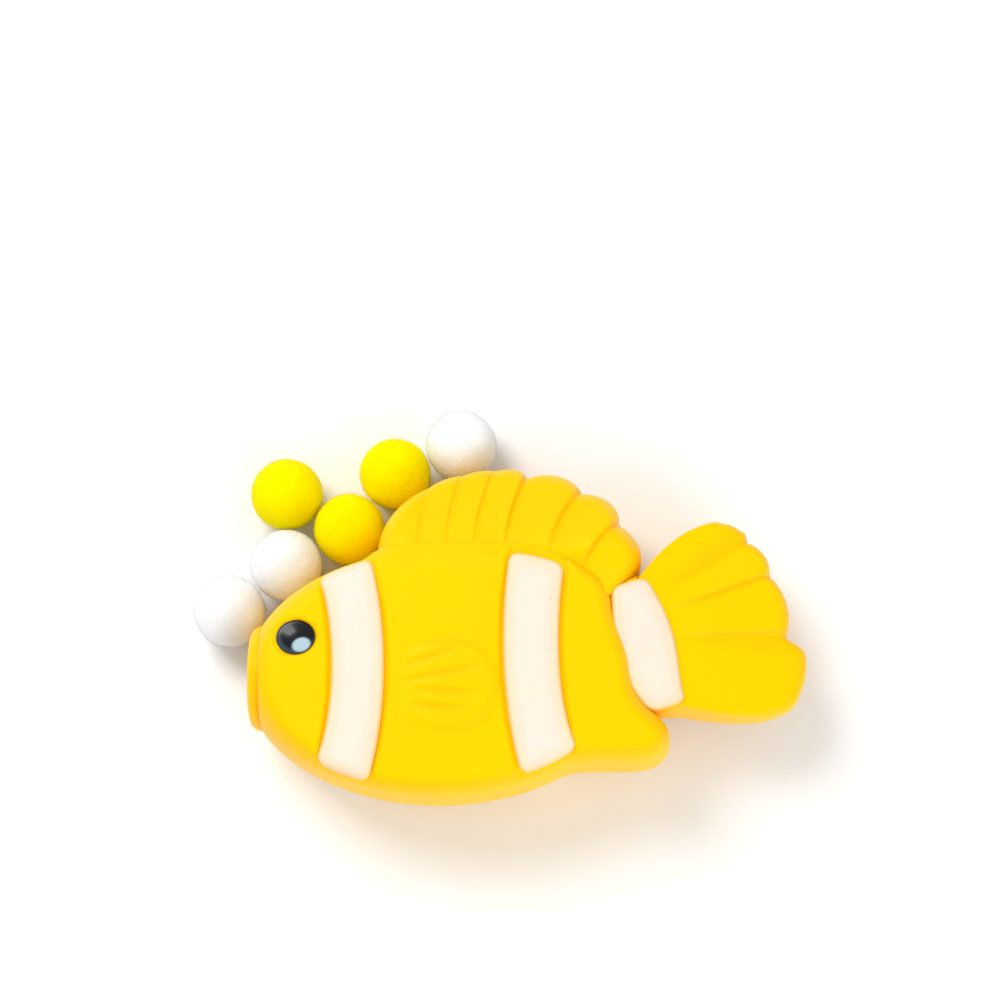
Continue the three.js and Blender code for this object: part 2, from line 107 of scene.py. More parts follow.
def body_outline(count):
    """The body's plan outline, evenly spaced along its length, with the inward normal at each point.
    Seen from the belly's middle it is the further of an ellipse and of the haunch, which has the anal fin and
    the straight back under the dorsal fin. The two are joined by a high power mean and smoothed a little."""
    ray_count, join_power = 2880, 40
    turn = np.linspace(-np.pi, np.pi, ray_count, endpoint=False)
    ray = np.stack([np.cos(turn), np.sin(turn)], -1)
    off = (belly_centre - body_centre) / body_half
    across = ray / body_half
    a, b, c = (across**2).sum(-1), (across * off).sum(-1), (off**2).sum() - 1
    ellipse = (-b + np.sqrt(b * b - a * c)) / a
    anal_fin_middle, anal_fin_radius = np.array([27.0, -15.7]), 6.8
    arc = np.radians(np.linspace(-90, 60, 60))[:, None]
    fin = anal_fin_middle + anal_fin_radius * np.hstack([np.cos(arc), np.sin(arc)])
    root = bezier(fin[-1], (20.0, -2.0), (20.5, 21.5), 80)[:70]
    foot = np.linspace((7.9, -22.5), fin[0], 40)[:-1]
    corner = bezier(root[-1], (20.6, 23.4), (15.5, 25.4), 20)[1:]
    rear_back = bezier(corner[-1], (4.0, 33.0), (-9.0, 33.4), 30)[1:]
    nape = bezier((-32.0, 32.5), (-36.4, 32.3), (-40.5, 28.5), 16)
    back = np.vstack([rear_back, np.linspace(rear_back[-1], nape[0], 40)[1:-1], nape])
    haunch = np.vstack([foot, fin, root[1:], corner, back]) - belly_centre
    heading = np.arctan2(haunch[:, 1], haunch[:, 0])
    reach = np.interp(turn, heading, np.hypot(*haunch.T), left=0, right=0)
    radius = (ellipse**join_power + reach**join_power) ** (1 / join_power)
    line = belly_centre + soften(radius, 12, wrap=True)[:, None] * ray
    closed = np.vstack([line, line[:1]])
    along = np.concatenate([[0], np.cumsum(np.hypot(*np.diff(closed, axis=0).T))])
    even = np.linspace(0, along[-1], count, endpoint=False)
    line = np.stack([np.interp(even, along, closed[:, k]) for k in (0, 1)], -1)
    tangent = np.roll(line, -1, 0) - np.roll(line, 1, 0)
    normal = np.stack([-tangent[:, 1], tangent[:, 0]], -1)
    return line, normal / np.linalg.norm(normal, axis=1)[:, None]


def fin_reach(x, y):
    """How far a place lies from the middle of the pectoral fin, 0, to its border, 1: an oval that widens to the
    rear. It is a superellipse whose power goes from 2 behind to 3.2 in front, so its front end is blunt."""
    along = (x - fin_middle[0]) / fin_half[0]
    across = (y - fin_middle[1]) / (fin_half[1] * (1 + fin_widening * np.clip(along, -1, 1)))
    power = 2 + 1.2 * (1 - ease(-0.6, 0.2, along))
    return (np.abs(along) ** power + np.abs(across) ** power) ** (1 / power)


def fin_rays(x, y):
    """Depth of the fin's four rays, 1 at most: a bell across each ray's line and a sine's root along it."""
    bell_width = 0.85
    depth = 0.0 * x
    for start, end in ray_lines:
        start, run = np.array(start), np.subtract(end, start)
        length = np.hypot(*run)
        along = ((x - start[0]) * run[0] + (y - start[1]) * run[1]) / length**2
        across = ((y - start[1]) * run[0] - (x - start[0]) * run[1]) / length
        depth += np.exp(-((across / bell_width) ** 2)) * np.sqrt(np.sin(np.pi * np.clip(along, 0, 1)))
    return depth


def pectoral_fin(x, y):
    """The fin's relief on the belly: a soft-edged plateau that climbs out of the skin in front, less its rays."""
    plateau = fin_raise * (1 - ease(0.8, 1.03, fin_reach(x, y))) * ease(fin_front_start, fin_front_end, x)
    return plateau - ray_depth * fin_rays(x, y)


def side_height(x, y, inward):
    """Height of the side above the mid-plane. The tiles rise beside the bands and in from the outline, and sink
    again towards the fold under the dorsal fin. A groove runs along each band, the pectoral fin stands on the
    middle tile, and the eye lies in a socket."""
    from_head_band = np.abs(x - head_band_x(y)) - head_band_half
    from_body_band = np.abs(x - body_band_x(y)) - body_band_half
    gap = np.minimum(from_head_band, from_body_band)
    fold = 1 - 0.85 * ease(24, 31, y)
    grooves = groove_depth * fold * np.exp(-(((gap - 0.2) / 0.5) ** 2))
    tiles = tile_raise * fold * ease(0.6, 1.6, gap) * ease(2.4, 4.4, inward) - grooves
    turn = np.array([[np.cos(eye_tilt), -np.sin(eye_tilt)], [np.sin(eye_tilt), np.cos(eye_tilt)]])
    eye = np.linalg.norm((np.stack([x, y], -1) - eye_centre) @ turn / eye_half, axis=-1)
    socket = socket_depth * (1 - ease(0.88, 1.18, eye))
    swell = swell_height * np.cos((x + 20) / 9) * np.cos(y / 11)
    return face_height + tiles - socket + swell + pectoral_fin(x, y)


def surface(name, grid, wrap=False, normals=None, keep=None, merge=False, groove=None):
    """A mesh of four-sided faces over a grid of points in millimetres, closed round its rows where wrap is set.
    A face with no corner to keep is left out, and merge closes poles and spines."""
    rows, columns = grid.shape[:2]
    index = np.arange(rows * columns).reshape(rows, columns)
    if wrap:
        index = np.vstack([index, index[:1]])
    corners = [index[:-1, :-1], index[1:, :-1], index[1:, 1:], index[:-1, 1:]]
    quads = np.stack(corners, -1).reshape(-1, 4)
    if keep is not None:
        quads = quads[keep.reshape(-1)[quads].any(1)]
    mesh = bpy.data.meshes.new(name)
    mesh.from_pydata((grid.reshape(-1, 3) / 1000).tolist(), [], quads.tolist())
    if groove is not None:
        attribute = mesh.attributes.new("groove", "FLOAT", "POINT")
        attribute.data.foreach_set("value", groove.reshape(-1).astype(np.float32))
    if merge or keep is not None:
        shape = bmesh.new()
        shape.from_mesh(mesh)
        if merge:
            bmesh.ops.remove_doubles(shape, verts=shape.verts, dist=2e-7)
        loose = [v for v in shape.verts if not v.link_faces]
        bmesh.ops.delete(shape, geom=loose, context="VERTS")
        shape.to_mesh(mesh)
        shape.free()
    mesh.shade_smooth()
    if normals is not None:
        mesh.normals_split_custom_set_from_vertices(normals.reshape(-1, 3).tolist())
    piece = bpy.data.objects.new(name, mesh)
    bpy.context.collection.objects.link(piece)
    return piece


edge_power = 2.6


def edge_rise(share):
    """The rounded edge: a superellipse of the edge power, from 0 at the outline to 1 at the full width."""
    return (1 - (1 - np.clip(share, 0, 1)) ** edge_power) ** (1 / edge_power)


def vinyl_group():
    """Shared effect: soft moulded vinyl. Painted shade, given by the groove attribute, pulls grooves, creases and
    borders towards a deeper tint, broad clouds vary the pigment towards the same tint, a few dark specks are
    moulded in, and two scales of noise give the surface its skin."""
    group = bpy.data.node_groups.new("moulded_vinyl", "ShaderNodeTree")
    for name, kind, value in (
        ("Pigment", "NodeSocketColor", (1, 0.6, 0, 1)),
        ("Cloud And Shade Tint", "NodeSocketColor", (0.9, 0.4, 0, 1)),
        ("Roughness", "NodeSocketFloat", 0.4),
    ):
        group.interface.new_socket(name, in_out="INPUT", socket_type=kind).default_value = value
    for name, kind in (
        ("Color", "NodeSocketColor"),
        ("Roughness", "NodeSocketFloat"),
        ("Height", "NodeSocketFloat"),
    ):
        group.interface.new_socket(name, in_out="OUTPUT", socket_type=kind)
    nodes, link = group.nodes, group.links.new
    given, out = nodes.new("NodeGroupInput"), nodes.new("NodeGroupOutput")
    place = nodes.new("ShaderNodeTexCoord")
    clouds, skin, pores = (nodes.new("ShaderNodeTexNoise") for _ in range(3))
    for noise, scale, detail in ((clouds, 26, 3), (skin, 420, 2), (pores, 1900, 2)):
        noise.inputs["Scale"].default_value = scale
        noise.inputs["Detail"].default_value = detail
        link(place.outputs["Object"], noise.inputs["Vector"])
    # The groove attribute holds painted shade: in grooves and sockets, along fin ridges, in band borders and at
    # the lip.
    depth = nodes.new("ShaderNodeAttribute")
    depth.attribute_name = "groove"
    cloudy = nodes.new("ShaderNodeMath")
    cloudy.operation = "MULTIPLY_ADD"
    cloudy.inputs[1].default_value = 0.22
    link(clouds.outputs["Fac"], cloudy.inputs[0])
    link(depth.outputs["Fac"], cloudy.inputs[2])
    tint = nodes.new("ShaderNodeMix")
    tint.data_type = "RGBA"
    link(cloudy.outputs[0], tint.inputs["Factor"])
    link(given.outputs["Pigment"], tint.inputs["A"])
    link(given.outputs["Cloud And Shade Tint"], tint.inputs["B"])
    specks = nodes.new("ShaderNodeTexVoronoi")
    specks.inputs["Scale"].default_value = 170
    link(place.outputs["Object"], specks.inputs["Vector"])
    inside = nodes.new("ShaderNodeMath")
    inside.operation = "LESS_THAN"
    inside.inputs[1].default_value = 0.024
    link(specks.outputs["Distance"], inside.inputs[0])
    soiled = nodes.new("ShaderNodeMix")
    soiled.data_type = "RGBA"
    soiled.inputs["B"].default_value = (0.12, 0.08, 0.04, 1)
    link(inside.outputs[0], soiled.inputs["Factor"])
    link(tint.outputs["Result"], soiled.inputs["A"])
    link(soiled.outputs["Result"], out.inputs["Color"])
    rough = nodes.new("ShaderNodeMath")
    rough.operation = "MULTIPLY_ADD"
    rough.inputs[1].default_value = 0.12
    link(skin.outputs["Fac"], rough.inputs[0])
    link(given.outputs["Roughness"], rough.inputs[2])
    link(rough.outputs[0], out.inputs["Roughness"])
    height = nodes.new("ShaderNodeMath")
    height.operation = "MULTIPLY_ADD"
    height.inputs[1].default_value = 0.35
    link(pores.outputs["Fac"], height.inputs[0])
    link(skin.outputs["Fac"], height.inputs[2])
    link(height.outputs[0], out.inputs["Height"])
    return group


def vinyl_material(name, pigment, cloud_and_shade_tint, roughness, glow, bump, sheen=(1, 1, 1, 1)):
    """A soft vinyl: the shared moulded surface on a shader. Glow is the share of light that spreads inside it,
    and sheen tints its gloss."""
    material = bpy.data.materials.new(name)
    material.use_nodes = True
    nodes, link = material.node_tree.nodes, material.node_tree.links.new
    shader = nodes["Principled BSDF"]
    moulded = nodes.new("ShaderNodeGroup")
    moulded.node_tree = bpy.data.node_groups.get("moulded_vinyl") or vinyl_group()
    moulded.inputs["Pigment"].default_value = pigment
    moulded.inputs["Cloud And Shade Tint"].default_value = cloud_and_shade_tint
    moulded.inputs["Roughness"].default_value = roughness
    relief = nodes.new("ShaderNodeBump")
    relief.inputs["Strength"].default_value = bump
    relief.inputs["Distance"].default_value = 0.0002
    link(moulded.outputs["Color"], shader.inputs["Base Color"])
    link(moulded.outputs["Roughness"], shader.inputs["Roughness"])
    link(moulded.outputs["Height"], relief.inputs["Height"])
    link(relief.outputs["Normal"], shader.inputs["Normal"])
    shader.inputs["Subsurface Weight"].default_value = glow
    shader.inputs["Subsurface Radius"].default_value = (1.0, 0.55, 0.08)
    shader.inputs["Subsurface Scale"].default_value = 0.004
    shader.inputs["Specular IOR Level"].default_value = 0.3
    shader.inputs["Specular Tint"].default_value = sheen
    return material


# Its deeper orange tint is the colour of the painted shade in grooves and creases, and of the clouds in its
# pigment.
yellow_vinyl = vinyl_material(
    "yellow_vinyl", pigment=(1.0, 0.6, 0.0, 1), cloud_and_shade_tint=(1.0, 0.4, 0.0, 1),
    roughness=0.36, glow=0.0, bump=0.12, sheen=(1, 0.75, 0.12, 1),
)

columns, face_rows, edge_rows = 460, 88, 14
side_edge, snout_edge_extra, back_edge_less = 5.0, 4.5, 2.2
well_inside = 20.0
flash_width, flash_spread = 0.3, 0.45
skin_painted_shade = 0.12
mouth_clearance, snout_end_x = 11.6, -60
outline, inward_normal = body_outline(columns)
from_mouth = np.degrees(np.arctan2(outline[:, 1], -(outline[:, 0] - belly_centre[0])))
spacing = np.hypot(*(np.roll(outline, -1, 0) - outline).T)
bend = np.cross(inward_normal, np.roll(inward_normal, -1, 0)) / spacing
at_snout = np.exp(-((from_mouth / 26) ** 2))
under_dorsal = ease(24, 30, outline[:, 1]) * ease(-38, -33, outline[:, 0])
edge_width = side_edge + snout_edge_extra * at_snout - back_edge_less * under_dorsal
widest_at_bend = 0.7 / np.maximum(soften(bend, 3, wrap=True), 0.02)
edge_width = soften(np.minimum(edge_width, widest_at_bend), 5, wrap=True)
slope = np.linspace(0, np.pi / 2, edge_rows)
edge_share = 1 - np.cos(slope) ** (2 / edge_power)
edge_in = edge_share[None, :] * edge_width[:, None]
edge_plan = outline[:, None] + edge_in[..., None] * inward_normal[:, None]
belly_turn = np.unwrap(np.arctan2(outline[:, 1] - belly_centre[1], outline[:, 0] - belly_centre[0]))
belly_turn = np.unwrap(np.arctan2(np.sin(belly_turn) / belly_half[1], np.cos(belly_turn) / belly_half[0]))
belly_rim = belly_centre + belly_half * np.stack([np.cos(belly_turn), np.sin(belly_turn)], -1)
share = np.linspace(0, 1, face_rows + 1)[1:]
face_plan = edge_plan[:, -1:] * (1 - share[:, None]) + belly_rim[:, None] * share[:, None]
plan = np.concatenate([edge_plan, face_plan], 1)
on_face = np.ones((columns, face_rows))
inward = np.concatenate([edge_in * np.maximum(side_edge / edge_width, 1)[:, None], well_inside * on_face], 1)
rise = np.concatenate([np.broadcast_to(edge_rise(edge_share), (columns, edge_rows)), on_face], 1)
height = side_height(plan[..., 0], plan[..., 1], inward) * rise
flash = flash_width * np.exp(-((height / flash_spread) ** 2))
plan = plan - flash[..., None] * inward_normal[:, None]
plan[..., 0] = np.maximum(plan[..., 0], mouth_x)
left = np.concatenate([plan, middle_z + height[..., None]], -1)
right = np.concatenate([plan, middle_z - height[..., None]], -1)
skin_grid = np.concatenate([left[:, ::-1], right[:, 1:]], 1)
# Painted shade: darker the further the face sinks below the tile tops, in the grooves by the bands and in the
# eye's socket, and a little on the upper part of the rounded edge.
sunk = face_height + tile_raise - height
groove = np.where(inward > 5.2, np.clip(sunk / 0.8, 0, 1), 0.25 * ease(0.5, 1, rise)) * skin_painted_shade
groove = np.concatenate([groove[:, ::-1], groove[:, 1:]], 1)
mouth_reach = np.hypot(skin_grid[..., 1], skin_grid[..., 2] - middle_z)
open_mouth = (mouth_reach < mouth_clearance) & (skin_grid[..., 0] < snout_end_x)
body_skin = surface("body_skin", skin_grid, wrap=True, keep=~open_mouth, groove=groove)
body_skin.data.materials.append(yellow_vinyl)
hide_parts("left_shell", "right_shell")
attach(body_skin, "fish")

# Belly gores
# The middle of each side is the soft wall that thumb and finger press in, with the pectoral fin moulded on it.
# It is the same skin, laid out in gores round the fin.
gore_count, gore_turns, gore_rings = 16, 16, 44


def belly_gores(side, sign):
    """An oval of the side's height field in polar gores.
    Its normals come from the height field's own slopes, so that the gores join without a crease."""
    for gore in range(gore_count):
        turns = 2 * np.pi * (gore + np.linspace(0, 1, gore_turns)) / gore_count
        reach = np.linspace(1, 0, gore_rings)
        spoke = np.stack([np.cos(turns), np.sin(turns)], -1) * belly_half
        at = belly_centre + reach[None, :, None] * spoke[:, None]
        x, y = at[..., 0], at[..., 1]
        level = side_height(x, y, well_inside)
        step = 0.02
        slope_x = (side_height(x + step, y, well_inside) - level) / step
        slope_y = (side_height(x, y + step, well_inside) - level) / step
        normal = np.stack([-slope_x, -slope_y, np.ones_like(level)], -1)
        normal /= np.linalg.norm(normal, axis=-1, keepdims=True)
        grid = np.concatenate([at, middle_z + sign * level[..., None]], -1)
        normal[..., 2] *= sign
        # Painted shade in the pectoral fin's rays and along its border.
        border = np.exp(-(((fin_reach(x, y) - 1.0) / 0.06) ** 2)) * ease(fin_front_start, fin_front_end, x)
        depth = 0.3 * fin_rays(x, y) + 0.14 * border
        if sign < 0:
            grid, normal, depth = grid[::-1], normal[::-1], depth[::-1]
        piece = surface(f"{side}_belly_gore_{gore + 1}", grid, normals=normal, groove=depth)
        piece.data.materials.append(yellow_vinyl)
        if gore == 0:
            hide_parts(f"{side}_pectoral_pad")
        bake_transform(piece)


belly_gores("left", 1)
belly_gores("right", -1)

# Dorsal fin
# The dorsal fin is moulded in one with the body: a crest of overlapping petals with a scalloped edge,
# thick at its foot and thin at its crest, the same on both sides.
dorsal_centre, dorsal_half = np.array([-5.9, 30.0]), np.array([32.0, 22.2])
dorsal_ridges = np.radians([200, 127, 110, 95, 80, 51, 21.5, -33])
dorsal_roots = np.array([
    (-31.0, 20.0), (-27.8, 22.0), (-21.2, 22.0), (-14.3, 22.0),
    (-6.9, 22.0), (3.9, 22.0), (12.5, 20.0), (14.0, 15.0),
])
front_scallop, rear_scallop, last_petal_bulge = 0.5, 2.4, 1.4
fold_y, fold_width, dorsal_taper, dorsal_foot_half, root_dip = 31, 1.2, 0.42, 16.3, 1.6
front_petal_rise, rear_petal_rise_more, dorsal_edge, ridge_painted_shade = 0.6, 0.95, 4.2, 0.12


def petal_rise(share):
    """A petal's profile from its front ridge to its rear one: it climbs slowly as a power of the share, then
    drops under the next petal by a smooth step."""
    return share**1.1 * (1 - ease(0.88, 1.0, share))


def two_sided(plan, height):
    """A fin's surface from the left foot over the crest to the right foot: the plan with its height, and again
    mirrored in the mid-plane."""
    left = np.concatenate([plan, middle_z + height[..., None]], -1)
    right = np.concatenate([plan, middle_z - height[..., None]], -1)
    return np.concatenate([left, right[:, -2::-1]], 1)


petals = len(dorsal_ridges) - 1
steps = np.linspace(0, petals, 60 * petals + 1)
lobe = steps % 1.0
ridge_numbers = np.arange(petals + 1)
turn = np.interp(steps, ridge_numbers, dorsal_ridges)
foot = soften(np.stack([np.interp(steps, ridge_numbers, dorsal_roots[:, k]) for k in (0, 1)], -1), 12)
notch = np.where(steps < 3.5, front_scallop, rear_scallop)
scallop = (1 - np.sin(np.pi * lobe) ** 0.65) * notch * ease(0, 1, steps) * ease(7, 6.5, steps)
way = np.stack([np.cos(turn), np.sin(turn)], -1)
crest = dorsal_centre + (dorsal_half - soften(scallop, 2)[:, None]) * way
crest[:, 0] += last_petal_bulge * np.sin(np.pi * np.clip(steps - 6, 0, 1))
climb = np.linspace(0, 1, 72) ** 0.9
bow = np.stack([climb**2.1, climb], -1)
plan = foot[:, None] + (crest - foot)[:, None] * bow[None]
from_edge = (1 - climb)[None, :] * np.linalg.norm(crest - foot, axis=-1)[:, None]
taper = dorsal_taper * fold_width * np.logaddexp(0, (plan[..., 1] - fold_y) / fold_width)
half_thickness = dorsal_foot_half - taper - root_dip * (1 - ease(24.5, 30.5, plan[..., 1]))
boldness = front_petal_rise + rear_petal_rise_more * ease(2.4, 4.2, steps)
above_foot = ease(0.2, 0.6, climb)[None, :]
relief = (boldness * (petal_rise(lobe) - 0.45))[:, None] * above_foot
height = (half_thickness + relief) * edge_rise(from_edge / dorsal_edge)
height[:, -1] = 0
dorsal_grid = two_sided(plan, height)
# Painted shade along each ridge, where one petal drops under the next, from a little above the foot.
crease = np.exp(-((np.minimum(lobe, 1 - lobe) / 0.08) ** 2))[:, None] * above_foot * ridge_painted_shade
dorsal_fin = surface("dorsal_fin", dorsal_grid, groove=np.concatenate([crease, crease[:, -2::-1]], 1))
dorsal_fin.data.materials.append(yellow_vinyl)
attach(dorsal_fin, "fish")

# Tail fin
# The tail fin is moulded in one with the body too: a fan of four lobes whose ridges run out from its root.
# Its sides slope down from the root to the thin end.
tail_hub, tail_pivot = np.array([24.0, 8.0]), np.array([14.0, 8.0])
tail_reach, foot_lobe_more, tail_notch = 40.6, 3.6, 1.9
tail_top_angle, tail_foot_angle = 49, -22
tail_root_half, tail_thinning, tail_lobe_rise, tail_edge = 13.0, 6.5, 1.2, 3.6
tail_ridge_painted_shade = 0.25


def from_hub(reach, degrees):
    """A place by its distance and direction from the tail's hub."""
    return tail_hub + reach * np.array([np.cos(np.radians(degrees)), np.sin(np.radians(degrees))])


def lobe_share(angle, ridges):
    """How far an angle lies from one ridge, 0, to the next, 1."""
    at = np.clip(np.searchsorted(-ridges, -angle, side="right") - 1, 0, len(ridges) - 2)
    return np.clip((ridges[at] - angle) / (ridges[at] - ridges[at + 1]), 0, 1)


tail_top, tail_foot = from_hub(tail_reach, tail_top_angle), from_hub(44.2, tail_foot_angle)
above = bezier(from_hub(17.2, 78), from_hub(34.5, 66), tail_top, 40)
below = bezier(tail_foot, from_hub(38, -33), from_hub(22, -51), 40)
edge_turn = np.radians(np.linspace(tail_top_angle, tail_foot_angle, 240))
notch_turns = np.radians([tail_top_angle, 40.4, 25.6, 2.7, tail_foot_angle])
lobe = lobe_share(edge_turn, notch_turns)
cut = 1 - np.sin(np.pi * lobe) ** 0.6
cut = np.where((edge_turn > np.radians(44.7)) | (edge_turn < np.radians(-9.6)), 0, cut)
reach = tail_reach + foot_lobe_more * ease(0, np.radians(6), notch_turns[3] - edge_turn) - tail_notch * cut
edge = tail_hub + reach[:, None] * np.stack([np.cos(edge_turn), np.sin(edge_turn)], -1)
fan = np.vstack([above[:-1], edge, below[1:]])
run = np.concatenate([[0], np.cumsum(np.hypot(*np.diff(fan, axis=0).T))])
even = np.linspace(0, run[-1], 400)
fan = np.stack([np.interp(even, run, fan[:, k]) for k in (0, 1)], -1)
from_corner = np.minimum(np.hypot(*(fan - tail_top).T), np.hypot(*(fan - tail_foot).T) - 3)
round_more = ease(5.5, 2.0, from_corner)[:, None]
fan = soften(fan, 2) * (1 - round_more) + soften(fan, 14) * round_more
line = np.vstack([[(13.0, 22.5), (20.6, 22.6)], fan, [(31.0, -9.6), (25.0, -7.5)]])
away = line - tail_pivot
heading, length = np.arctan2(away[:, 1], away[:, 0]), np.hypot(*away.T)
turn = np.interp(np.linspace(0, 1, 460), np.linspace(0, 1, len(heading)), heading)
crest = np.stack([np.interp(-turn, -heading, length * part(heading)) for part in (np.cos, np.sin)], -1)
lobe = lobe_share(turn, np.radians([100, 32.4, 20.4, 2.1, -70]))
out = 0.15 + 0.85 * np.linspace(0, 1, 72) ** 0.85
plan = tail_pivot + out[None, :, None] * crest[:, None]
from_edge = (1 - out)[None, :] * np.linalg.norm(crest, axis=-1)[:, None]
half_thickness = tail_root_half - tail_thinning * np.clip((plan[..., 0] - tail_hub[0]) / tail_reach, 0, 1.1)
relief = tail_lobe_rise * (petal_rise(lobe) - 0.45)[:, None] * ease(0.35, 0.75, out)[None, :]
height = (half_thickness + relief) * edge_rise(from_edge / tail_edge)
height[:, -1] = 0
tail_grid = two_sided(plan, height)
# Painted shade along each ridge between the lobes, from a little way out of the root.
beside_ridge = np.exp(-((np.minimum(lobe, 1 - lobe) / 0.07) ** 2))[:, None]
crease = beside_ridge * ease(0.4, 0.7, out)[None, :] * tail_ridge_painted_shade
tail_fin = surface("tail_fin", tail_grid, groove=np.concatenate([crease, crease[:, -2::-1]], 1))
tail_fin.data.materials.append(yellow_vinyl)
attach(tail_fin, "fish")

# White bands
# Three cream-white bands lie on each side, of the same soft vinyl, set into the grooves between the tiles.
# Each is a thin tile with rounded edges and a slight crown. Its borders take a painted yellow glow from the body.
band_bottom, band_top, band_crown, band_edge, band_corner = 15.9, 17.75, 0.25, 1.3, 2.4
tail_band_bottom, tail_band_top, tail_band_crown = 11.8, 14.3, 0.3
# Their deeper tint is the painted yellow glow that the body throws into their borders, and the colour of the
# clouds in their pigment.
white_vinyl = vinyl_material(
    "white_vinyl", pigment=(0.84, 0.75, 0.67, 1), cloud_and_shade_tint=(0.9, 0.6, 0.22, 1),
    roughness=0.38, glow=0.35, bump=0.1,
)


def rounded_rectangle(width, height, radius, steps):
    """The outline of a rectangle about the origin with round corners, counter-clockwise, in even steps."""
    arc = np.linspace(0, np.pi / 2, 24)
    corners = []
    for right, up, start in ((1, -1, -90), (1, 1, 0), (-1, 1, 90), (-1, -1, 180)):
        angle = np.radians(start) + arc
        centre = np.array([right * (width / 2 - radius), up * (height / 2 - radius)])
        corners.append(centre + radius * np.stack([np.cos(angle), np.sin(angle)], -1))
    line = np.vstack(corners + [corners[0][:1]])
    along = np.concatenate([[0], np.cumsum(np.hypot(*np.diff(line, axis=0).T))])
    even = np.linspace(0, along[-1], steps, endpoint=False)
    return np.stack([np.interp(even, along, line[:, k]) for k in (0, 1)], -1)


def band_reach(x, margin):
    """Half the body's height at x, short of its outline by a margin."""
    part = (x - body_centre[0]) / (body_half[0] - margin)
    return (body_half[1] - margin) * np.sqrt(np.maximum(1 - part**2, 0))


def tile(outline, spine, bottom, top, crown, edge):
    """A thin tile as rings from its outline to its spine: up the side, over a rounded edge of the given radius,
    then on to the spine with a crown that swells as the sine of the way in. Returns the grid and the painted
    shading for its border: full at the foot, fading over the rounded edge and a little way on to the top."""
    tangent = np.roll(outline, -1, 0) - np.roll(outline, 1, 0)
    normal = np.stack([-tangent[:, 1], tangent[:, 0]], -1)
    normal /= np.linalg.norm(normal, axis=1)[:, None]
    bend = np.linspace(0, np.pi / 2, 10)
    inset = edge * (1 - np.cos(bend))
    rim = outline[:, None] + inset[None, :, None] * normal[:, None]
    rim_z = top - edge + edge * np.sin(bend)
    way = np.linspace(0, 1, 16)[1:]
    flat = rim[:, -1:] * (1 - way[:, None]) + spine[:, None] * way[:, None]
    flat_z = top + crown * np.sin(way * np.pi / 2)
    plan = np.concatenate([outline[:, None], rim, flat], 1)
    z = np.concatenate([[bottom], rim_z, flat_z])
    grid = np.concatenate([plan, np.broadcast_to(z[None, :, None], (*plan.shape[:2], 1))], -1)
    edge_shade = 1 - 0.75 * ease(0, 1, bend / (np.pi / 2))
    shade = np.concatenate([[1], edge_shade, 0.25 * (1 - ease(0, 0.5, way))])
    return grid, np.broadcast_to(shade, plan.shape[:2])


def laid_over(grid, line, width, height):
    """Bends a band down where it nears an outline, by nine tenths of the drop of that rounded edge at the
    band's distance from the line."""
    flat = grid[..., :2].reshape(-1, 2)
    near = np.min([np.hypot(*(flat - place).T) for place in line], axis=0).reshape(grid.shape[:2])
    bent = grid.copy()
    bent[..., 2] -= 0.9 * height * (1 - edge_rise(np.maximum(near, 0.7) / width))
    return bent


def across_body(centre_line, width, top_margin, foot_margin, corner, level_top=0.0):
    """A band's outline and spine: a rounded rectangle bent along its centre line, whose ends follow the body at
    a margin. The top end's rear corner may be lifted to lie more level."""
    length = 2 * band_reach(centre_line(0.0), 2.2)
    line = rounded_rectangle(width, length, corner, 280)
    x = centre_line(line[:, 1]) + line[:, 0]
    stretch = band_reach(x, np.where(line[:, 1] > 0, top_margin, foot_margin)) / (length / 2)
    y = line[:, 1] * stretch + level_top * np.clip(line[:, 1] / length, 0, 1) * (line[:, 0] / width + 0.5)
    middle = np.clip(y, -length / 2 + width / 2, length / 2 - width / 2)
    return np.stack([x, y], -1), np.stack([centre_line(middle), middle], -1)


def along_root():
    """The tail band's outline and spine: its front side follows the tail root and tucks under it, and its width
    swells to the middle as a sine."""
    end_width, swell, tuck, setback, corner, lean_angle = 6.8, 5.8, 1.7, 0.55, 1.9, np.radians(18.5)
    root = bezier((30.4, -9.81), (20.0, -2.0), (20.5, 21.5), 400)
    run = np.concatenate([[0], np.cumsum(np.hypot(*np.diff(root, axis=0).T))])
    line = rounded_rectangle(end_width, run[-1] - 1.2, corner, 280)
    lean = np.array([np.cos(lean_angle), np.sin(lean_angle)])

    def lay(x, y):
        """A place on the straight rectangle, carried to the root: y along it and x out along the lean."""
        part = np.clip(0.5 + y / run[-1], 0, 1)
        front = np.stack([np.interp(part * run[-1], run, root[:, k]) for k in (0, 1)], -1)
        width = end_width + swell * np.sin(np.pi * part)
        return front + lean * (setback - tuck + (0.5 + x / end_width) * (width + tuck))[:, None]

    half = run[-1] / 2
    return lay(line[:, 0], line[:, 1]), lay(0 * line[:, 0], np.clip(line[:, 1], -half + 5, half - 5))


def finish_bands(name, grid, shade, slope=0.0):
    """Puts a band on both sides. A sloped one follows the tail's side, which falls away from the hub."""
    grid = grid.copy()
    grid[..., 2] -= np.maximum(grid[..., 0] - tail_hub[0], -4) * slope
    for side, sign in (("left", 1), ("right", -1)):
        placed = grid.copy()
        placed[..., 2] = middle_z + sign * grid[..., 2]
        piece = surface(
            f"{side}_{name}_tile", placed if sign < 0 else placed[::-1], wrap=True, merge=True,
            groove=shade if sign < 0 else shade[::-1],
        )
        piece.data.materials.append(white_vinyl)
        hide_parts(f"{side}_{name}")
        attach(piece, "fish")


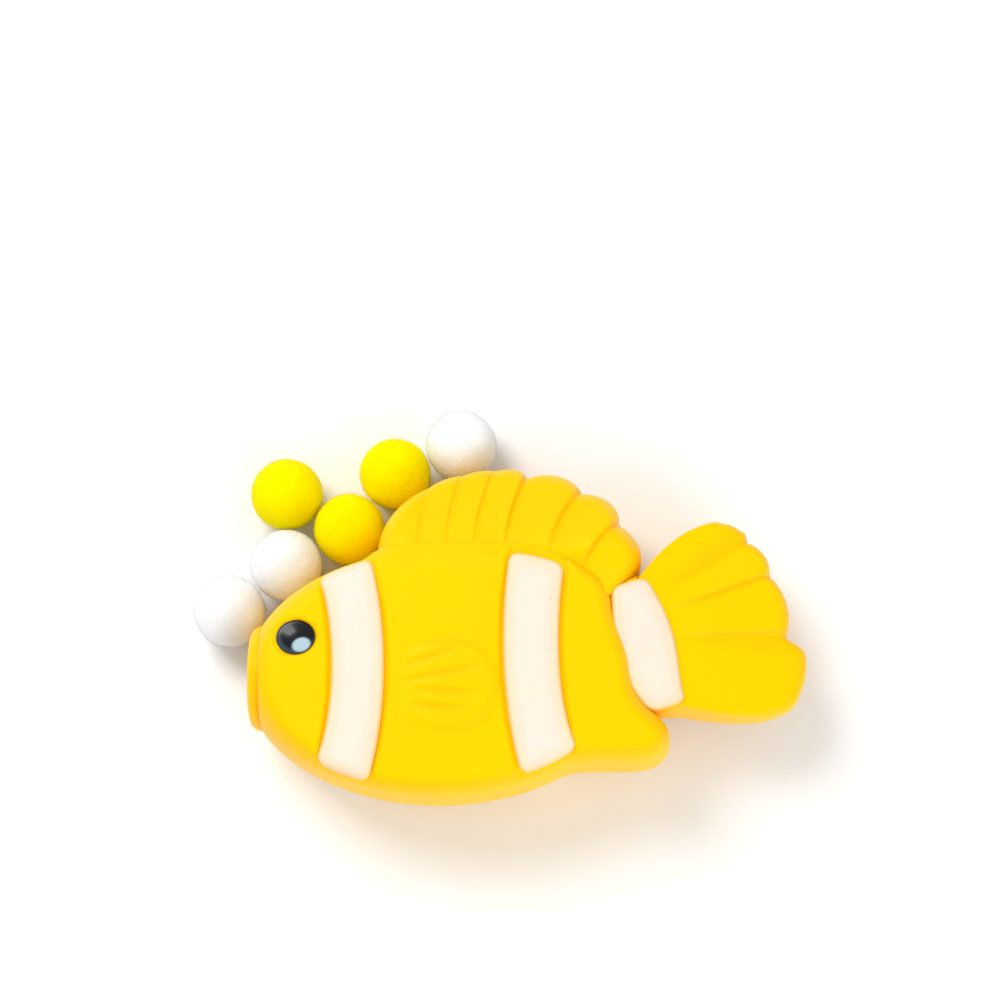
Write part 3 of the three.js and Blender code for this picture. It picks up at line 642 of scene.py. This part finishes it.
for name, centre_line, half_width, top_margin, foot_margin, level_top in (
    ("head_band", head_band_x, head_band_half, 1.6, 2.0, 0.0),
    ("body_band", body_band_x, body_band_half, 0.1, 2.6, 4.0),
):
    band_line, band_spine = across_body(
        centre_line, 2 * half_width, top_margin, foot_margin, band_corner, level_top,
    )
    band, band_shade = tile(band_line, band_spine, band_bottom, band_top, band_crown, band_edge)
    finish_bands(name, laid_over(band, outline, side_edge, face_height), band_shade)
tail_line, tail_spine = along_root()
tail_tile, tail_shade = tile(tail_line, tail_spine, tail_band_bottom, tail_band_top, tail_band_crown, band_edge)
tail_tile = laid_over(tail_tile, fan, tail_edge, tail_root_half)
finish_bands("tail_band", tail_tile, tail_shade, slope=tail_thinning / tail_reach)

# Eyes
# Each eye is a glossy black button pressed into its socket, domed, with a pale blue glint and a slate rim
# at its lower front printed on it.
eye_bottom, eye_top, eye_dome, eye_edge = 15.0, 16.9, 0.75, 0.8
rim_slate, pupil_black, glint_blue = (0.03, 0.05, 0.075, 1), (0.003, 0.004, 0.006, 1), (0.42, 0.56, 0.64, 1)
eye_black = bpy.data.materials.new("eye_black")
eye_black.use_nodes = True
eye_nodes, eye_link = eye_black.node_tree.nodes, eye_black.node_tree.links.new
eye_shader = eye_nodes["Principled BSDF"]
eye_shader.inputs["Roughness"].default_value = 0.3
eye_shader.inputs["Specular IOR Level"].default_value = 0.25
eye_shader.inputs["Coat Weight"].default_value = 0.15
eye_shader.inputs["Coat Roughness"].default_value = 0.12


def oval_mask(centre, half, turn, soft):
    """A mask that is 1 inside an oval at a place on the side, at any height, and fades over its soft border."""
    place = eye_nodes.new("ShaderNodeTexCoord")
    shift = eye_nodes.new("ShaderNodeMapping")
    shift.vector_type = "TEXTURE"
    shift.inputs["Location"].default_value = (centre[0] / 1000, centre[1] / 1000, 0)
    shift.inputs["Rotation"].default_value = (0, 0, turn)
    shift.inputs["Scale"].default_value = (half[0] / 1000, half[1] / 1000, 1e3)
    reach = eye_nodes.new("ShaderNodeVectorMath")
    reach.operation = "LENGTH"
    fade = eye_nodes.new("ShaderNodeMapRange")
    fade.interpolation_type = "SMOOTHSTEP"
    fade.inputs["From Min"].default_value = 1 + soft
    fade.inputs["From Max"].default_value = 1 - soft
    eye_link(place.outputs["Object"], shift.inputs["Vector"])
    eye_link(shift.outputs["Vector"], reach.inputs[0])
    eye_link(reach.outputs["Value"], fade.inputs["Value"])
    return fade.outputs["Result"]


def painted(colour_under, mask, colour):
    """A colour laid over another where the mask is 1."""
    coat = eye_nodes.new("ShaderNodeMix")
    coat.data_type = "RGBA"
    eye_link(mask, coat.inputs["Factor"])
    if isinstance(colour_under, tuple):
        coat.inputs["A"].default_value = colour_under
    else:
        eye_link(colour_under, coat.inputs["A"])
    coat.inputs["B"].default_value = colour
    return coat.outputs["Result"]


pupil = oval_mask((-56.2, 8.3), (4.1, 3.7), eye_tilt, 0.14)
glint = oval_mask((-55.3, 5.9), (2.2, 1.55), 0.35, 0.22)
paint = painted(rim_slate, pupil, pupil_black)
eye_link(painted(paint, glint, glint_blue), eye_shader.inputs["Base Color"])

spin = np.linspace(0, 2 * np.pi, 120, endpoint=False)
swing = np.array([[np.cos(eye_tilt), np.sin(eye_tilt)], [-np.sin(eye_tilt), np.cos(eye_tilt)]])
eye_line = eye_centre + (np.stack([np.cos(spin), np.sin(spin)], -1) * eye_half) @ swing
eye_spine = np.broadcast_to(eye_centre, eye_line.shape)
eye_grid, _ = tile(eye_line, eye_spine, eye_bottom, eye_top, eye_dome, eye_edge)
for side, sign in (("left", 1), ("right", -1)):
    placed = eye_grid.copy()
    placed[..., 2] = middle_z + sign * eye_grid[..., 2]
    eye = surface(f"{side}_eye_button", placed if sign < 0 else placed[::-1], wrap=True, merge=True)
    eye.data.materials.append(eye_black)
    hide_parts(f"{side}_eye")
    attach(eye, "fish")

# Mouth
# A soft lip ring closes the snout and grips the ball. Behind it the stiff barrel, a plain white moulding,
# holds the ball against a cross until a squeeze blows it out.
lip_front, lip_back, lip_bore, lip_outer = -68.9, -65.4, 8.4, 12.9
inner_round, outer_round = 1.5, 2.9
lip_turns = 160
around = np.linspace(0, 2 * np.pi, lip_turns, endpoint=False)
bend = np.linspace(0, np.pi / 2, 12)
profile_x = np.concatenate([
    [lip_back],
    lip_front + inner_round * (1 - np.sin(bend)),
    lip_front + outer_round * (1 - np.cos(bend)),
    [lip_back],
])
profile_r = np.concatenate([
    [lip_bore],
    lip_bore + inner_round * (1 - np.cos(bend)),
    lip_outer - outer_round * (1 - np.sin(bend)),
    [lip_outer],
])
lip_grid = np.stack([
    np.broadcast_to(profile_x, (lip_turns, len(profile_x))),
    np.cos(around)[:, None] * profile_r[None, :],
    middle_z + np.sin(around)[:, None] * profile_r[None, :],
], -1)
# Painted shade on the lip's outer rim towards its back, where it meets the snout.
lip_shade = ease(11.8, lip_outer, profile_r) * ease(-67.5, -65.5, profile_x) * 0.5
lip_shade = np.broadcast_to(lip_shade, lip_grid.shape[:2])
mouth_lip = surface("lip_ring", lip_grid, wrap=True, groove=lip_shade)
mouth_lip.data.materials.append(yellow_vinyl)
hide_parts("mouth_lip")
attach(mouth_lip, "fish")

barrel_plastic = vinyl_material(
    "barrel_plastic", pigment=(0.82, 0.8, 0.76, 1), cloud_and_shade_tint=(0.6, 0.57, 0.52, 1),
    roughness=0.3, glow=0.05, bump=0.08,
)
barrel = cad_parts["barrel"]
barrel.data.materials.clear()
barrel.data.materials.append(barrel_plastic)

# Foam balls
# Six loose balls of soft foam, three yellow and three white, cut and tumbled to a fine matt skin.
# They lie on the floor round the fish's back.
ball_radius = 9.0
fibre_count, fibre_half_width = 4200, 0.05
golden_angle = 2.399963


def foam_material(name, light, shade):
    """Fine foam: tiny open cells pit the surface, a lit and a shaded copy of its colour are mixed by the cell and
    lump pattern as painted shade, and light spreads inside it.
    """
    material = bpy.data.materials.new(name)
    material.use_nodes = True
    nodes, link = material.node_tree.nodes, material.node_tree.links.new
    shader = nodes["Principled BSDF"]
    place = nodes.new("ShaderNodeTexCoord")
    cells, lumps = nodes.new("ShaderNodeTexVoronoi"), nodes.new("ShaderNodeTexNoise")
    cells.inputs["Scale"].default_value = 1300
    lumps.inputs["Scale"].default_value = 300
    lumps.inputs["Detail"].default_value = 3
    for texture in (cells, lumps):
        link(place.outputs["Object"], texture.inputs["Vector"])
    both = nodes.new("ShaderNodeMath")
    both.operation = "MULTIPLY_ADD"
    both.inputs[1].default_value = 0.6
    link(cells.outputs["Distance"], both.inputs[0])
    link(lumps.outputs["Fac"], both.inputs[2])
    tint = nodes.new("ShaderNodeMix")
    tint.data_type = "RGBA"
    tint.inputs["A"].default_value = light
    tint.inputs["B"].default_value = shade
    soft = nodes.new("ShaderNodeMapRange")
    soft.inputs["From Min"].default_value = 0.5
    soft.inputs["From Max"].default_value = 1.3
    link(both.outputs[0], soft.inputs["Value"])
    link(soft.outputs["Result"], tint.inputs["Factor"])
    link(tint.outputs["Result"], shader.inputs["Base Color"])
    relief = nodes.new("ShaderNodeBump")
    relief.inputs["Strength"].default_value = 0.6
    relief.inputs["Distance"].default_value = 0.0004
    link(both.outputs[0], relief.inputs["Height"])
    link(relief.outputs["Normal"], shader.inputs["Normal"])
    shader.inputs["Roughness"].default_value = 0.9
    shader.inputs["Specular IOR Level"].default_value = 0.15
    shader.inputs["Specular Tint"].default_value = light
    shader.inputs["Subsurface Weight"].default_value = 0.5
    shader.inputs["Subsurface Radius"].default_value = light[:3]
    shader.inputs["Subsurface Scale"].default_value = 0.005
    shader.inputs["Sheen Weight"].default_value = 0.25
    shader.inputs["Sheen Tint"].default_value = light
    return material


foams = {
    "yellow": foam_material("yellow_foam", (1.0, 0.87, 0.0, 1), (1.0, 0.79, 0.0, 1)),
    "white": foam_material("white_foam", (0.93, 0.95, 0.97, 1), (0.87, 0.88, 0.9, 1)),
}


def foam_ball(centre, radius, phase):
    """A ball on a grid of longitude and latitude, its radius swayed by slow waves of a tenth of a millimetre.
    It is pressed a little flat where it lies."""
    longitude = np.linspace(0, 2 * np.pi, 96, endpoint=False)[:, None]
    latitude = np.linspace(-np.pi / 2, np.pi / 2, 64)[None, :]
    way = np.stack(np.broadcast_arrays(
        np.cos(latitude) * np.cos(longitude), np.cos(latitude) * np.sin(longitude), np.sin(latitude),
    ), -1)
    sway = np.sin(5 * way[..., 0] + phase) * np.sin(4 * way[..., 1] - phase)
    sway = sway + np.sin(6 * way[..., 2] + 2 * phase)
    ball = centre + way * (radius - 0.1 + 0.08 * sway)[..., None]
    ball[..., 2] = np.maximum(ball[..., 2], 0.02)
    return ball


def foam_fuzz(centre, radius, seed):
    """Short fibres that the cut foam leaves on its skin: thin three-cornered blades, rooted at places spread by
    the golden angle, each leaning its own way. Returns points and faces."""
    chance = np.random.default_rng(seed)
    count = fibre_count
    up = 1 - 2 * (np.arange(count) + 0.5) / count
    spin = np.arange(count) * golden_angle
    out = np.stack([np.sqrt(1 - up * up) * np.cos(spin), np.sqrt(1 - up * up) * np.sin(spin), up], -1)
    lean = chance.normal(0, 1, (count, 3))
    lean -= (lean * out).sum(-1, keepdims=True) * out
    lean /= np.linalg.norm(lean, axis=-1, keepdims=True)
    length = chance.uniform(0.3, 0.95, (count, 1))
    root = centre + out * (radius - 0.25)
    tip = root + out * (0.15 + length * 0.8) + lean * length * 0.7
    side = np.cross(out, lean) * fibre_half_width
    points = np.stack([root - side, root + side, tip], 1).reshape(-1, 3)
    points[:, 2] = np.maximum(points[:, 2], 0.03)
    return points, np.arange(3 * count).reshape(-1, 3)


for colour in ("yellow", "white"):
    for number in (1, 2, 3):
        node = f"{colour}_ball_{number}"
        low, high = (np.array(corner) * 1000 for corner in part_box(node))
        centre = (low + high) / 2
        ball_grid = foam_ball(centre, ball_radius, number + (colour == "white") * 1.7)
        ball = surface(f"{node}_foam", ball_grid, wrap=True, merge=True)
        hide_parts(node)
        points, faces = foam_fuzz(centre, ball_radius, number + 10 * (colour == "white"))
        fuzz_mesh = bpy.data.meshes.new(f"{node}_fuzz")
        fuzz_mesh.from_pydata((points / 1000).tolist(), [], faces.tolist())
        fuzz = bpy.data.objects.new(f"{node}_fuzz", fuzz_mesh)
        bpy.context.collection.objects.link(fuzz)
        for piece in (ball, fuzz):
            piece.data.materials.append(foams[colour])
            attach(piece, node)

# Table, light and camera
# A pale seamless table under soft studio light, seen from above and a little from the belly's side.
floor_half, floor_drop = 3000, 0.02
floor_sides = [-floor_half, floor_half]
floor_grid = np.full((2, 2, 3), -floor_drop)
floor_grid[..., 0], floor_grid[..., 1] = np.meshgrid(floor_sides, floor_sides, indexing="ij")
floor = surface("floor", floor_grid)
floor_paint = bpy.data.materials.new("pale_table")
floor_paint.use_nodes = True
floor_shader = floor_paint.node_tree.nodes["Principled BSDF"]
floor_shader.inputs["Base Color"].default_value = (0.9, 0.9, 0.9, 1)
floor_shader.inputs["Roughness"].default_value = 0.6
floor.data.materials.append(floor_paint)

scene = bpy.context.scene
scene.view_settings.view_transform = "Standard"
sky = bpy.data.worlds.new("studio")
sky.use_nodes = True
sky_light = sky.node_tree.nodes["Background"]
sky_light.inputs["Color"].default_value = (1, 1, 1, 1)
sky_light.inputs["Strength"].default_value = 0.6
scene.world = sky


def lamp(name, place, aim, size, power):
    """A square soft box at a place in metres that faces an aim."""
    light = bpy.data.lights.new(name, "AREA")
    light.energy, light.size = power, size
    box = bpy.data.objects.new(name, light)
    box.location = place
    way = np.array(aim) - np.array(place)
    box.rotation_euler = (np.arctan2(np.hypot(way[0], way[1]), -way[2]), 0, np.arctan2(-way[0], way[1]))
    bpy.context.collection.objects.link(box)


lamp("key_box", place=(-0.36, 0.42, 0.68), aim=(0, 0.01, 0.02), size=0.4, power=4.5)
lamp("fill_box", place=(0.42, -0.6, 0.45), aim=(0.02, 0.01, 0.02), size=0.6, power=3.7)

camera = bpy.data.objects.new("camera", bpy.data.cameras.new("camera"))
camera.data.sensor_width = 36
camera.data.lens = 86.4
camera.location = (-0.00764, -0.0798, 0.6049)
camera.rotation_euler = (np.radians(12), 0, 0)
bpy.context.collection.objects.link(camera)
scene.camera = camera
